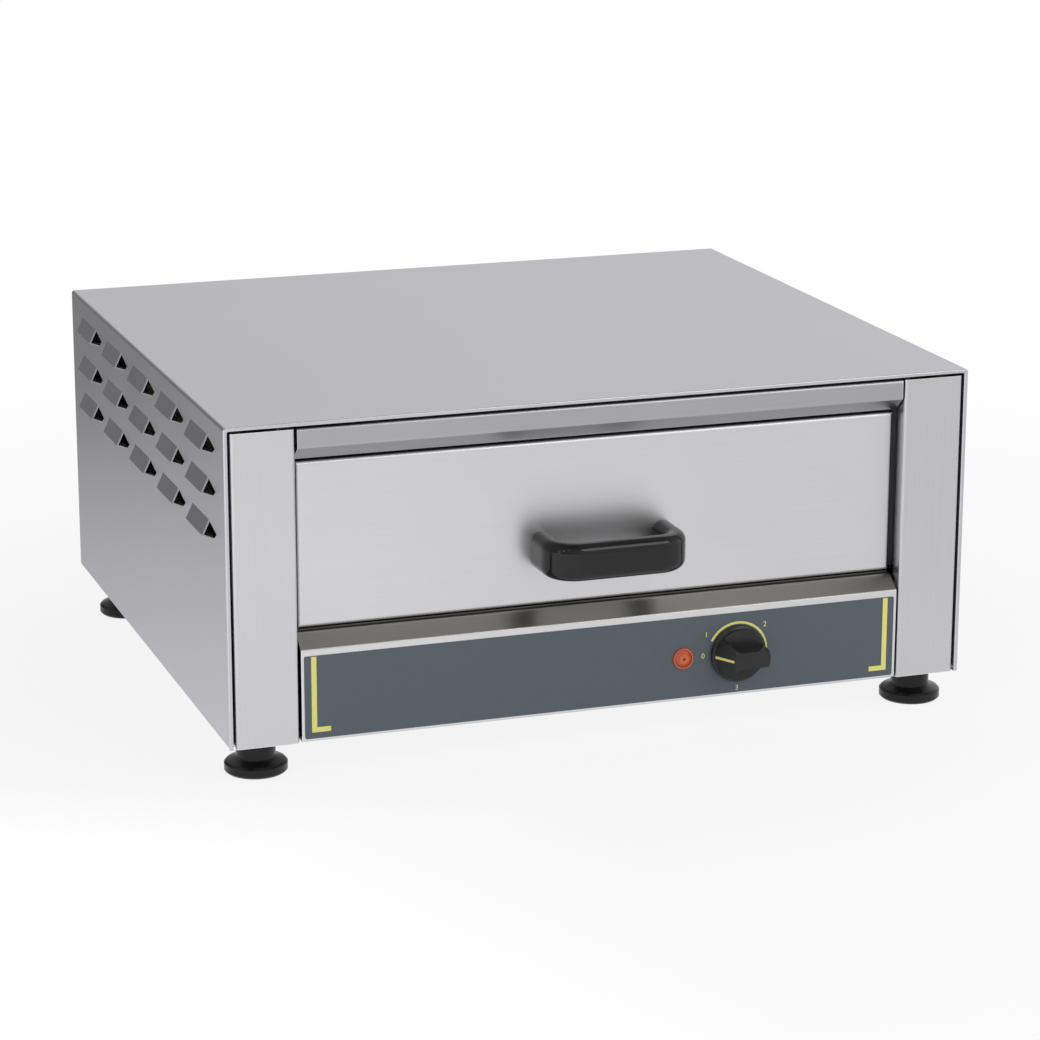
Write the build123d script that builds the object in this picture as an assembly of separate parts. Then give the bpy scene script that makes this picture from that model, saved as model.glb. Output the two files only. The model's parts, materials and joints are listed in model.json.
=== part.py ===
from build123d import *
import math
import os

# Countertop bun warmer: a louvred steel casing over a heated chamber with one drawer on
# telescopic slides, a thermostat knob and a pilot lamp on the fascia, and four levelling feet.
# Sizes are millimetres. While the pieces are made, x runs to the right from the middle, y runs
# back from the cabinet's front plane and z runs up from the cabinet's underside.

# Outer shell, all folded from one gauge of sheet
body_width = 545
body_depth = 478
body_height = 225
shell_sheet = 1.2
shell_bend = 1.0
casing_flange = 15
base_flange = 14

# Front edge of the casing, folded back inside on itself
hem_gap = 0.5
hem_depth = 6
hem_nose = 1.5
hem_round = 0.9

# Groove that shows between the casing's edge and the front frame
groove_width = 1.6
groove_depth = 7.5
joggle_length = 5
frame_lap = 9

# Front frame: two posts, a rail above the drawer and the fascia with its sill below it
post_face = 44.7
post_return = 12
post_step = 8
rail_face = 13.6
rail_bevel_drop = 10.1
rail_bevel_depth = 12
rail_end_gap = 1.5
fascia_height = 66
sill_rise = 9.4
sill_depth = 13
frame_return = 30
fascia_foot = 20
fascia_end_gap = 1.7

# Louvres, the same on both sides
louvre_columns = 5
louvre_rows = 3
louvre_pitch_y = 87
louvre_pitch_z = 29.8
louvre_first_y = 44.5
louvre_top_margin = 14
louvre_length = 45
louvre_drop = 10.8
louvre_reach = 5.2
louvre_sheet = 0.7
louvre_tip_reach = 21.5
louvre_tip_drop = 5.5
louvre_corner_reach = 12.5

# Slots in the base that let cool air in
base_slot_length = 60
base_slot_width = 5
base_slot_pitch = 20
base_slot_count = 3
base_slot_group_x = 120
base_slot_group_y = 200

# Rear panel and its screws
rear_margin = 2.5
rear_screw_inset = 7
rear_screw_radius = 2
rear_screw_head = 3.5
rear_screw_head_top = 2.5
rear_screw_head_height = 2.4
rear_screw_length = 9
rear_screw_columns = 3
rear_screw_rows = 2

# Cable gland in the rear panel
gland_side_inset = 72.5
gland_z = 36
gland_bore = 4.5
gland_thread_radius = 8
gland_thread_length = 12
gland_collar_radius = 12
gland_collar_length = 5
gland_dome_radius = 10.5
gland_dome_length = 13
gland_nut_flats = 22
gland_nut_height = 5

# Chamber lined with flat sheets
chamber_side_inset = 3.5
chamber_rear_space = 36.8
liner_sheet = 1.0
liner_flange = 16
liner_lap = 14
insulation_thickness = 20
insulation_side_thickness = 14
insulation_floor_thickness = 12
insulation_rear_lift = 12.5
support_leg_inset = 29
support_leg_foot = 15
support_leg_rear_gap = 3
support_leg_width = 13
support_leg_clearance = 2

# Tubular heater over the chamber floor
heater_tube_radius = 3.25
heater_lift = 8.75
heater_runs = 4
heater_run_pitch = 96
heater_end_gap = 40
heater_end_reach = 18
heater_hole_clearance = 0.4
heater_support_sheet = 1.5
heater_support_margin = 12
heater_support_ys = (150, 320)

# Controls on the fascia
knob_x = 98.5
lamp_x = 57
control_height = 31.7
overlay_side_margin = 2
overlay_top_margin = 4.5
overlay_bottom = 2.5
overlay_sheet = 0.4
overlay_corner = 1.5

# Thermostat
spindle_radius = 3
spindle_clearance = 0.05
spindle_flat_depth = 1.2
spindle_flat_length = 9
spindle_hole = 5
thermostat_width = 40
thermostat_height = 34
thermostat_depth = 24
thermostat_corner = 4
thermostat_screw_spacing = 28
thermostat_screw_radius = 1.5
thermostat_screw_head = 2.8
thermostat_screw_length = 8
screw_clearance = 0.05
probe_rear_gap = 10
probe_tube_radius = 1
probe_bend = 20
probe_bulb_radius = 3
probe_bulb_length = 70
probe_bulb_lift = 23.5
probe_hole_clearance = 0.5

# Knob, turned and scooped to leave a grip bar
knob_skirt_radius = 20.5
knob_skirt_height = 3.5
knob_shoulder_radius = 18.8
knob_face_radius = 17.2
knob_height = 19.5
knob_gap = 0.8
knob_bar_width = 12
knob_scoop_radius = 8.5
knob_scoop_x = -4
knob_scoop_floor = 5.5
knob_ramp_x = -10
knob_edge = 0.6
pointer_width = 1.8
pointer_height = 0.5
pointer_end_margin = 0.8

# Pilot lamp
lamp_flange_radius = 8
lamp_flange_height = 1.2
lamp_ring_radius = 6
lamp_ring_groove = 0.8
lamp_dome_radius = 5
lamp_dome_height = 2.4
lamp_pip_radius = 1.1
lamp_body_radius = 5.8
lamp_hole_clearance = 0.2
lamp_body_length = 28
lamp_clip_radius = 8.5
lamp_clip_height = 3

# Terminal block and leads
terminal_gland_offset = 60
terminal_rear_space = 56.8
terminal_width = 46
terminal_depth = 22
terminal_height = 18
terminal_poles = 3
terminal_well_radius = 3
terminal_well_depth = 8
lead_radius = 1.4
lead_bend = 7
lead_height = 14
lead_lane_y = 80
lead_rear_gap = 6.8
lead_lamp_y = 52
lead_lamp_z = 18
lead_lamp_rise = 17

# Levelling feet
foot_height = 25
foot_side_inset = 25
foot_front_inset = 27
foot_rear_inset = 58
foot_radius = 22
foot_edge = 1.5
foot_disc_height = 8
foot_neck_radius = 13.8
foot_shoulder_rise = 2.5
foot_top_gap = 0.5
foot_travel = 10
stud_radius = 4
stud_clearance = 0.05
stud_hole_clearance = 0.5
stud_seat = 4
stud_spare = 2
nut_flats = 13
nut_height = 6.5

# Drawer
drawer_recess = 12
drawer_side_gap = 2.5
drawer_bottom_gap = 2.4
drawer_top_gap = 1.5
drawer_front_sheet = 1.2
drawer_front_depth = 16
drawer_front_bend = 3.2
drawer_sheet = 1.0
drawer_side_height = 70
drawer_tray_lift = 18.5
drawer_rear_gap = 20
tray_slot_length = 90
tray_slot_width = 8
tray_slot_columns = 3
tray_slot_rows = 4
tray_slot_pitch_x = 122
tray_slot_pitch_y = 84

# Handle
handle_width = 105
handle_reach = 44
handle_height = 27
handle_thickness = 15
handle_corner = 16
handle_section_corner = 7.2
handle_rise = 39.7
handle_screw_radius = 2.5
handle_screw_head = 4.8
handle_screw_head_height = 3
handle_screw_length = 16

# Telescopic slides, three nested channels on each side
slide_space = 13
slide_front = 34
slide_rear_gap = 26
slide_sheet = 1.2
slide_bend = 0.8
slide_gap = 1.5
slide_outer_half_height = 22.5
slide_outer_reach = 9
slide_middle_start = 2.2
slide_middle_reach = 10.6
slide_inner_start = 4.6

# Places worked out from the sizes above
half_width = body_width / 2
casing_inside = half_width - shell_sheet
casing_ceiling = body_height - shell_sheet
hem_outside = casing_inside - hem_gap
hem_inside = hem_outside - shell_sheet
hem_top = casing_ceiling - hem_gap
hem_ceiling = hem_top - shell_sheet
post_outer = hem_inside - groove_width
post_inner = post_outer - post_face
frame_top = hem_ceiling - groove_width
rail_bottom = frame_top - rail_face
chamber_top = rail_bottom - rail_bevel_drop
chamber_bottom = fascia_height + sill_rise
fascia_half = post_inner - fascia_end_gap
base_top = 2 * shell_sheet
casing_rear = body_depth - shell_sheet
louvre_top_z = body_height - louvre_top_margin
overlay_width = 2 * (fascia_half - overlay_side_margin)
overlay_height = fascia_height - overlay_bottom - overlay_top_margin
chamber_half_width = post_inner - chamber_side_inset
chamber_rear = casing_rear - chamber_rear_space
liner_top = chamber_top + shell_sheet
liner_floor_top = chamber_bottom + liner_sheet
liner_outside = chamber_half_width + liner_sheet
liner_rear_outside = chamber_rear + liner_sheet
slide_rear = chamber_rear - slide_rear_gap
heater_z = liner_floor_top + heater_lift
heater_end_x = heater_run_pitch * (heater_runs - 1) / 2
heater_end_y = liner_rear_outside + heater_end_reach
heater_front_y = frame_return + heater_end_gap + heater_run_pitch / 2
heater_back_y = chamber_rear - heater_end_gap - heater_run_pitch / 2
insulation_rear_bottom = heater_z + heater_tube_radius + insulation_rear_lift
support_leg_x = chamber_half_width - support_leg_inset
support_leg_y = chamber_rear - support_leg_rear_gap - support_leg_width
probe_y = chamber_rear - probe_rear_gap
probe_bulb_bottom = chamber_bottom + probe_bulb_lift
gland_x = gland_side_inset - half_width
terminal_x = gland_x + terminal_gland_offset
terminal_y = casing_rear - terminal_rear_space - terminal_depth
lead_rear_y = casing_rear - lead_rear_gap
thermostat_back = shell_sheet + thermostat_depth
foot_x = half_width - foot_side_inset
foot_rear_y = body_depth - foot_rear_inset
drawer_half = post_inner - drawer_side_gap
drawer_face = drawer_recess
drawer_back_face = drawer_face + drawer_front_depth
drawer_low = chamber_bottom + drawer_bottom_gap
drawer_high = chamber_top - drawer_top_gap
tray_front = drawer_back_face + drawer_sheet
tray_outside = chamber_half_width - slide_space
tray_inside = tray_outside - drawer_sheet
tray_bottom = chamber_bottom + drawer_tray_lift
tray_rear = chamber_rear - drawer_rear_gap
slide_z = tray_bottom + drawer_side_height / 2
overlay_face = -overlay_sheet
knob_back = overlay_face - knob_gap
knob_front = knob_back - knob_height
handle_front = drawer_face - handle_reach
handle_leg_x = (handle_width - handle_thickness) / 2
handle_z = drawer_low + handle_rise
gland_rear = body_depth + gland_collar_length + gland_dome_length

# The finished object stands on z = 0, centred over its own outline
place = Pos(0, -(handle_front + gland_rear) / 2, foot_height)


def block(x_low, x_high, y_low, y_high, z_low, z_high):
    """Plain block between two corners."""
    middle = Pos((x_low + x_high) / 2, (y_low + y_high) / 2, (z_low + z_high) / 2)
    return middle * Box(x_high - x_low, y_high - y_low, z_high - z_low)


def along_x(profile, low, high):
    """Profile drawn as (y, z) and drawn out along x."""
    return extrude(Plane.YZ.offset(low) * profile, amount=high - low)


def along_y(profile, low, high):
    """Profile drawn as (x, z) and drawn out along y."""
    return extrude(Plane.XZ.offset(-high) * profile, amount=high - low)


def along_z(profile, low, high):
    """Profile drawn as (x, y) and drawn out along z."""
    return extrude(Plane.XY.offset(low) * profile, amount=high - low)


def bar_y(radius, x, z, y_low, y_high):
    """Round bar along y."""
    return along_y(Pos(x, z) * Circle(radius), y_low, y_high)


def bar_z(radius, x, y, z_low, z_high):
    """Round bar along z."""
    return along_z(Pos(x, y) * Circle(radius), z_low, z_high)


def rod(radius, start, end):
    """Round bar between two points."""
    run = end - start
    return extrude(Plane(origin=start, z_dir=run) * Circle(radius), amount=run.length)


def rod_bend(radius, start, heading, toward, bend, turn):
    """Bend of a round bar: from its start it heads one way and turns toward another."""
    section = Plane(origin=start, z_dir=heading) * Circle(radius)
    return revolve(section, axis=Axis(start + toward * bend, heading.cross(toward)), revolution_arc=turn)


def bent_rod(radius, bend, points):
    """Round bar of straight runs, with the same bend at each corner."""
    corners = [Vector(*point) for point in points]
    start = corners[0]
    pieces = []
    for before, corner, after in zip(corners, corners[1:], corners[2:]):
        heading = (corner - before).normalized()
        leaving = (after - corner).normalized()
        turn = heading.get_angle(leaving)
        cut_back = bend * math.tan(math.radians(turn) / 2)
        toward = (leaving - heading * heading.dot(leaving)).normalized()
        bend_start = corner - heading * cut_back
        pieces.append(rod(radius, start, bend_start))
        pieces.append(rod_bend(radius, bend_start, heading, toward, bend, turn))
        start = corner + leaving * cut_back
    return rod(radius, start, corners[-1]) + pieces


def outline(points):
    """Flat face inside straight lines."""
    return make_face(Polyline(*points, close=True))


def arch(half, top, corner):
    """Upright face that stands on z = 0, with its two top corners rounded."""
    points = [(-half, 0), (-half, top), (half, top), (half, 0)]
    return make_face(FilletPolyline(*points, radius=[0, corner, corner, 0], close=True))


def folded_profile(points, sheet, bend):
    """Section of a folded sheet: one face follows the points and the other lies to their left."""
    face = [Vector(*point) for point in points]
    runs = [(end - start).normalized() for start, end in zip(face, face[1:])]
    lefts = [Vector(-run.Y, run.X) for run in runs]
    back = [face[0] + lefts[0] * sheet]
    face_radii = []
    back_radii = []
    for before, after, corner in zip(lefts, lefts[1:], face[1:-1]):
        back.append(corner + (before + after) * (sheet / (1 + before.dot(after))))
        turn = before.cross(after).Z
        gentle = abs(turn) < 0.4
        face_radii.append(0 if gentle else bend + sheet if turn > 0 else bend)
        back_radii.append(0 if gentle else bend if turn > 0 else bend + sheet)
    back.append(face[-1] + lefts[-1] * sheet)
    radii = [0] + face_radii + [0, 0] + back_radii[::-1] + [0]
    return make_face(FilletPolyline(*(face + back[::-1]), radius=radii, close=True))


def mirrored(shape):
    """The same piece for the other side."""
    return mirror(shape, about=Plane.YZ)


def on_grid(count, pitch):
    """Evenly spaced places about zero."""
    return [(index - (count - 1) / 2) * pitch for index in range(count)]


# Outer shell


def louvre_hole(y, z):
    """Pierced shape of one louvre as (y, z): a pointed mouth that runs on under the hood."""
    points = [
        (y, z),
        (y + louvre_length, z),
        (y + louvre_length, z - louvre_drop),
        (y - louvre_corner_reach, z - louvre_drop),
        (y - louvre_tip_reach, z - louvre_tip_drop),
    ]
    return along_x(outline(points), casing_inside - 1, half_width + 1)


def louvre_hood():
    """Wedge pushed out of the right side, open only at its slanting front mouth.

    The top of the mouth is at y = 0 and z = 0.
    """
    slope = math.hypot(louvre_reach, louvre_drop)
    slant = louvre_sheet * slope / louvre_drop
    floor = louvre_sheet - louvre_drop
    inner_reach = -louvre_reach * floor / louvre_drop - slant
    outer = [
        (casing_inside, 0),
        (half_width, 0),
        (half_width + louvre_reach, -louvre_drop),
        (casing_inside, -louvre_drop),
    ]
    inner = [
        (casing_inside - 1, 0),
        (half_width - min(slant, shell_sheet), 0),
        (half_width + inner_reach, floor),
        (casing_inside - 1, floor),
    ]
    front = -louvre_corner_reach - 1
    hood = along_y(outline(outer), front, louvre_length)
    hood -= along_y(outline(inner), front - 1, louvre_length - louvre_sheet)
    corner = Vector(0, -louvre_corner_reach, -louvre_drop)
    lip = Vector(louvre_reach, 0, -louvre_drop)
    mouth = Plane(origin=(half_width, 0, 0), z_dir=corner.cross(lip))
    return split(hood, bisect_by=mouth, keep=Keep.BOTTOM)


def casing_hem():
    """Inner layer of the casing's folded front edge and the nose that joins it."""
    inside = arch(hem_inside, hem_ceiling, shell_bend)
    nose = along_y(arch(half_width, body_height, shell_bend + shell_sheet) - inside, 0, hem_nose)
    rim = nose.faces().sort_by(Axis.Y)[0].edges().filter_by_position(Axis.Z, 1, body_height)
    nose = fillet(rim, hem_round)
    return [nose, along_y(arch(hem_outside, hem_top, shell_bend) - inside, hem_nose, hem_depth)]


def outer_casing():
    """Top and both sides folded from one sheet, with louvred sides and inturned edges."""
    wrap = [
        (casing_inside - casing_flange, 0),
        (half_width, 0),
        (half_width, body_height),
        (-half_width, body_height),
        (-half_width, 0),
        (casing_flange - casing_inside, 0),
    ]
    body = along_y(folded_profile(wrap, shell_sheet, shell_bend), hem_nose, casing_rear)
    # The bottom flanges stop short of the posts
    body -= block(-casing_inside, casing_inside, -1, groove_depth, -1, shell_sheet + 1)
    flange_front = casing_rear - shell_sheet
    rear_low = base_top + rear_margin
    ring = block(-casing_inside, casing_inside, flange_front, casing_rear, rear_low, casing_ceiling)
    ring -= block(
        casing_flange - casing_inside,
        casing_inside - casing_flange,
        flange_front - 1,
        casing_rear + 1,
        rear_low - 1,
        casing_ceiling - casing_flange,
    )
    holes = []
    hoods = []
    hood = louvre_hood()
    for column in range(louvre_columns):
        for row in range(louvre_rows):
            y = louvre_first_y + column * louvre_pitch_y
            z = louvre_top_z - row * louvre_pitch_z
            holes.append(louvre_hole(y, z))
            hoods.append(Pos(0, y, z) * hood)
    holes += [mirrored(hole) for hole in holes]
    hoods += [mirrored(hood) for hood in hoods]
    body = body - holes
    body = body + casing_hem() + hoods + ring
    return body - rear_screw_holes()


def right_post():
    """Front corner post: a lap on the casing behind the groove, and a stepped return at the opening."""
    lap_start = groove_depth + joggle_length
    section = [
        (post_inner + post_step, frame_return),
        (post_inner + post_step, post_return),
        (post_inner, post_return),
        (post_inner, 0),
        (post_outer, 0),
        (post_outer, groove_depth),
        (casing_inside, lap_start),
        (casing_inside, lap_start + frame_lap),
    ]
    post = along_z(folded_profile(section, shell_sheet, shell_bend), 0, frame_top)
    behind = shell_sheet + shell_bend
    return post - block(post_inner - 1, half_width, behind, frame_return + 1, -1, base_top)


def top_rail():
    """Rail between the posts: lap under the casing, upright face and a bevel down to the chamber."""
    lap_start = groove_depth + joggle_length
    section = [
        (lap_start + frame_lap, casing_ceiling),
        (lap_start, casing_ceiling),
        (groove_depth, frame_top),
        (0, frame_top),
        (0, rail_bottom),
        (rail_bevel_depth, chamber_top),
        (frame_return, chamber_top),
    ]
    half = post_inner - rail_end_gap
    return along_x(folded_profile(section, shell_sheet, shell_bend), -half, half)


def control_fascia():
    """Fascia folded with the sill above it, pierced for the spindle, its screws and the lamp."""
    section = [
        (frame_return, chamber_bottom),
        (sill_depth, chamber_bottom),
        (0, fascia_height),
        (0, 0),
        (fascia_foot, 0),
    ]
    fascia = along_x(folded_profile(section, shell_sheet, shell_bend), -fascia_half, fascia_half)
    fascia -= bar_y(spindle_hole, knob_x, control_height, -1, shell_sheet + 1)
    fascia -= bar_y(lamp_body_radius + lamp_hole_clearance, lamp_x, control_height, -1, shell_sheet + 1)
    return fascia - thermostat_screws()


def fascia_overlay():
    """Thin printed panel on the fascia, with holes for the spindle and the lamp."""
    middle_z = overlay_bottom + overlay_height / 2
    sheet = Pos(0, middle_z) * RectangleRounded(overlay_width, overlay_height, overlay_corner)
    sheet -= Pos(knob_x, control_height) * Circle(spindle_hole)
    sheet -= Pos(lamp_x, control_height) * Circle(lamp_body_radius + lamp_hole_clearance)
    return along_y(sheet, overlay_face, 0)


def foot_places():
    """Name, x and y of the four feet."""
    return [
        ("front_left", -foot_x, foot_front_inset),
        ("front_right", foot_x, foot_front_inset),
        ("rear_left", -foot_x, foot_rear_y),
        ("rear_right", foot_x, foot_rear_y),
    ]


def base_plate():
    """Base on the casing's flanges, slotted for air, with an upstand for the rear panel."""
    rear = casing_rear - shell_sheet
    plate_half = casing_inside - shell_bend
    plate = block(-plate_half, plate_half, groove_depth, rear, shell_sheet, base_top)
    upstand_half = casing_inside - casing_flange - rear_margin
    upstand_top = shell_sheet + base_flange
    plate += block(-upstand_half, upstand_half, rear, casing_rear, shell_sheet, upstand_top)
    slot = SlotOverall(base_slot_length, base_slot_width, rotation=90)
    slots = []
    for middle in (-base_slot_group_x, base_slot_group_x):
        for x in on_grid(base_slot_count, base_slot_pitch):
            slots.append(along_z(Pos(middle + x, base_slot_group_y) * slot, 0, base_top + 1))
    holes = []
    for _, x, y in foot_places():
        holes.append(bar_z(stud_radius + stud_hole_clearance, x, y, 0, base_top + 1))
    return plate - slots - holes - rear_screw_holes()


def rear_screw_places():
    """Screw places along the rear panel's edges as (x, z)."""
    edge_x = casing_inside - rear_screw_inset
    high = casing_ceiling - rear_screw_inset
    low = shell_sheet + rear_screw_inset
    inner_x = edge_x - casing_flange - rear_screw_inset
    places = []
    for x in on_grid(rear_screw_columns, 2 * inner_x / (rear_screw_columns - 1)):
        places += [(x, low), (x, high)]
    for z in on_grid(rear_screw_rows, (high - low) / (rear_screw_rows + 1)):
        middle = (high + low) / 2
        places += [(-edge_x, middle + z), (edge_x, middle + z)]
    return places


def rear_screw_holes():
    """Holes through the panel and the flanges in front of it."""
    radius = rear_screw_radius + screw_clearance
    return [bar_y(radius, x, z, casing_rear - 3, body_depth + 1) for x, z in rear_screw_places()]


def rear_screws():
    """Pan-head screws, one solid each."""
    screws = []
    for x, z in rear_screw_places():
        shank = bar_y(rear_screw_radius, x, z, body_depth - rear_screw_length, body_depth)
        seat = Plane(origin=(x, body_depth, z), z_dir=(0, 1, 0))
        head = Solid.make_cone(rear_screw_head, rear_screw_head_top, rear_screw_head_height, seat)
        screws.append(shank + head)
    return screws


def rear_panel():
    """Flat back sheet screwed to the inturned edges."""
    half = half_width - rear_margin
    panel = block(-half, half, casing_rear, body_depth, rear_margin, body_height - rear_margin)
    panel -= bar_y(gland_thread_radius + screw_clearance, gland_x, gland_z, casing_rear - 1, body_depth + 1)
    return panel - rear_screw_holes()


def hexagon(flats):
    """Hexagon across its flats."""
    return RegularPolygon(flats / 2, 6, major_radius=False)


def cable_gland():
    """Gland body and domed cap with the bore for a supply cable."""
    collar_end = body_depth + gland_collar_length
    gland = bar_y(gland_thread_radius, gland_x, gland_z, casing_rear - gland_thread_length, body_depth)
    gland += along_y(
        Pos(gland_x, gland_z) * hexagon(2 * gland_collar_radius * math.cos(math.pi / 6)),
        body_depth,
        collar_end,
    )
    dome = bar_y(gland_dome_radius, gland_x, gland_z, collar_end, gland_rear)
    dome = fillet(dome.edges().sort_by(Axis.Y)[-1], (gland_dome_radius - gland_bore) * 0.7)
    gland += dome
    return gland - bar_y(gland_bore, gland_x, gland_z, casing_rear - gland_thread_length - 1, gland_rear + 1)


def gland_nut():
    """Hexagon nut inside the rear panel."""
    profile = hexagon(gland_nut_flats) - Circle(gland_thread_radius + screw_clearance)
    return along_y(Pos(gland_x, gland_z) * profile, casing_rear - gland_nut_height, casing_rear)


# Chamber


def liner_right_wall():
    """Chamber side with a flange turned out behind the post."""
    section = [
        (chamber_half_width, chamber_rear),
        (chamber_half_width, frame_return),
        (chamber_half_width + liner_flange, frame_return),
    ]
    return along_z(folded_profile(section, liner_sheet, 0), liner_floor_top, liner_top)


def liner_ceiling():
    """Chamber top, lapped on the rail's flange."""
    front = frame_return - liner_lap
    return block(-liner_outside, liner_outside, front, liner_rear_outside, liner_top, liner_top + liner_sheet)


def liner_floor():
    """Chamber floor, lapped on the sill's flange, with a hole for the thermostat's probe."""
    front = frame_return - liner_lap
    floor = block(-liner_outside, liner_outside, front, chamber_rear, chamber_bottom, liner_floor_top)
    return floor - bar_z(probe_tube_radius + probe_hole_clearance, knob_x, probe_y, 0, liner_floor_top + 1)


def liner_rear_wall():
    """Chamber back with holes for the heater's two ends."""
    wall = block(-liner_outside, liner_outside, chamber_rear, liner_rear_outside, chamber_bottom, liner_top)
    for x in (-heater_end_x, heater_end_x):
        radius = heater_tube_radius + heater_hole_clearance
        wall -= bar_y(radius, x, heater_z, chamber_rear - 1, liner_rear_outside + 1)
    return wall


def liner_support_legs():
    """Two folded legs from the base to the chamber floor."""
    section = [
        (support_leg_x - support_leg_foot, base_top),
        (support_leg_x, base_top),
        (support_leg_x, chamber_bottom - shell_sheet),
        (support_leg_x + support_leg_foot, chamber_bottom - shell_sheet),
    ]
    profile = folded_profile(section, shell_sheet, shell_bend)
    leg = along_y(profile, support_leg_y, support_leg_y + support_leg_width)
    return [leg, mirrored(leg)]


def insulation_top():
    """Mineral wool between the chamber and the casing's top."""
    low = liner_top + liner_sheet
    return block(
        -liner_outside, liner_outside, frame_return, liner_rear_outside, low, low + insulation_thickness
    )


def insulation_right():
    """Mineral wool against the chamber's side, with the louvres' air space outside it."""
    return block(
        liner_outside,
        liner_outside + insulation_side_thickness,
        frame_return + liner_sheet,
        chamber_rear,
        chamber_bottom,
        liner_top,
    )


def insulation_rear():
    """Mineral wool behind the chamber, above the heater's terminals."""
    far = liner_rear_outside + insulation_thickness
    return block(-liner_outside, liner_outside, liner_rear_outside, far, insulation_rear_bottom, liner_top)


def insulation_floor():
    """Mineral wool under the chamber floor."""
    low = chamber_bottom - insulation_floor_thickness
    rear = support_leg_y - support_leg_clearance
    return block(-chamber_half_width, chamber_half_width, frame_return, rear, low, chamber_bottom)


def heater_element():
    """One tube bent to and fro over the floor, with both ends through the rear wall."""
    xs = on_grid(heater_runs, heater_run_pitch)
    last = heater_runs - 1
    pieces = []
    for index, x in enumerate(xs):
        rear = heater_end_y if index in (0, last) else heater_back_y
        pieces.append(bar_y(heater_tube_radius, x, heater_z, heater_front_y, rear))
        if index < last:
            at_front = index % 2 == 0
            start = Vector(x, heater_front_y if at_front else heater_back_y, heater_z)
            heading = Vector(0, -1 if at_front else 1, 0)
            bend = heater_run_pitch / 2
            pieces.append(rod_bend(heater_tube_radius, start, heading, Vector(1, 0, 0), bend, 180))
    return pieces[0] + pieces[1:]


def heater_supports():
    """Upright strips on the floor with a seat for each run of the tube."""
    half = heater_end_x + heater_support_margin
    strips = []
    for y in heater_support_ys:
        strip = block(-half, half, y, y + heater_support_sheet, liner_floor_top, heater_z)
        for x in on_grid(heater_runs, heater_run_pitch):
            strip -= bar_y(heater_tube_radius, x, heater_z, y - 1, y + heater_support_sheet + 1)
        strips.append(strip)
    return strips


# Controls


def thermostat_screw_shape(radius_extra):
    """Two countersunk screws through the fascia into the thermostat."""
    screws = []
    for offset in (-thermostat_screw_spacing / 2, thermostat_screw_spacing / 2):
        x = knob_x + offset
        end = shell_sheet + thermostat_screw_length
        shank = bar_y(thermostat_screw_radius + radius_extra, x, control_height, 0, end)
        sunk = Plane(origin=(x, 0, control_height), x_dir=(1, 0, 0), z_dir=(0, 1, 0))
        head = Solid.make_cone(thermostat_screw_head, thermostat_screw_radius, shell_sheet, sunk)
        screws.append(shank + head)
    return screws


def thermostat_screws():
    """The two screws as fitted."""
    return thermostat_screw_shape(0)


def thermostat_body():
    """Moulded thermostat with its spindle bore and tapped screw holes."""
    face = RectangleRounded(thermostat_width, thermostat_height, thermostat_corner)
    body = along_y(Pos(knob_x, control_height) * face, shell_sheet, thermostat_back)
    bore = spindle_radius + spindle_clearance
    body -= bar_y(bore, knob_x, control_height, 0, thermostat_back - 4)
    return body - thermostat_screw_shape(screw_clearance)


def thermostat_spindle():
    """Spindle with a flat for the knob."""
    front = knob_front + knob_height - 14
    flat_end = front + spindle_flat_length
    spindle = bar_y(spindle_radius, knob_x, control_height, front, thermostat_back - 5)
    flat_low = control_height + spindle_radius - spindle_flat_depth
    cut = block(knob_x - 5, knob_x + 5, front - 1, flat_end, flat_low, flat_low + 5)
    return spindle - cut


def thermostat_probe():
    """Capillary tube that runs back under the chamber and up into its bulb."""
    points = [
        (knob_x, thermostat_back, control_height),
        (knob_x, probe_y, control_height),
        (knob_x, probe_y, probe_bulb_bottom),
    ]
    tube = bent_rod(probe_tube_radius, probe_bend, points)
    bulb_top = probe_bulb_bottom + probe_bulb_length
    return tube + bar_z(probe_bulb_radius, knob_x, probe_y, probe_bulb_bottom, bulb_top)


def knob_scoop(side):
    """Thumb scoop beside the grip bar, rounded at its left end and open at its right."""
    z = side * (knob_bar_width / 2 + knob_scoop_radius)
    centre = Pos(knob_x + knob_scoop_x, control_height + z)
    span = 2 * knob_skirt_radius
    shape = centre * Circle(knob_scoop_radius)
    shape += centre * Pos(span / 2, 0) * Rectangle(span, 2 * knob_scoop_radius)
    return along_y(shape, knob_front - 1, knob_back - knob_scoop_floor)


def knob_ramp_points():
    """Top and foot of the ramp at the pointer end of the grip bar, as (x, y)."""
    top = (knob_x + knob_ramp_x, knob_front)
    foot = (knob_x - knob_shoulder_radius, knob_back - knob_skirt_height)
    return top, foot


def knob():
    """Round knob with a skirt, two thumb scoops and a ramp for the pointer line."""
    section = [
        (0, 0),
        (knob_skirt_radius, 0),
        (knob_skirt_radius, knob_skirt_height - 1),
        (knob_shoulder_radius, knob_skirt_height),
        (knob_face_radius, knob_height - knob_edge),
        (knob_face_radius - knob_edge, knob_height),
        (0, knob_height),
    ]
    turned = revolve(Plane.XZ * outline(section), axis=Axis.Z)
    upright = Plane(origin=(knob_x, knob_back, control_height), x_dir=(1, 0, 0), z_dir=(0, -1, 0))
    body = upright.location * turned
    body = body - knob_scoop(1) - knob_scoop(-1)
    top, foot = knob_ramp_points()
    wedge = [top, foot, (foot[0] - 5, foot[1]), (foot[0] - 5, knob_front - 5), (top[0], knob_front - 5)]
    body -= along_z(outline(wedge), control_height - 12, control_height + 12)
    socket_front = knob_front + knob_height - 14
    return body - bar_y(spindle_radius + spindle_clearance, knob_x, control_height, socket_front, 0)


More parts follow.
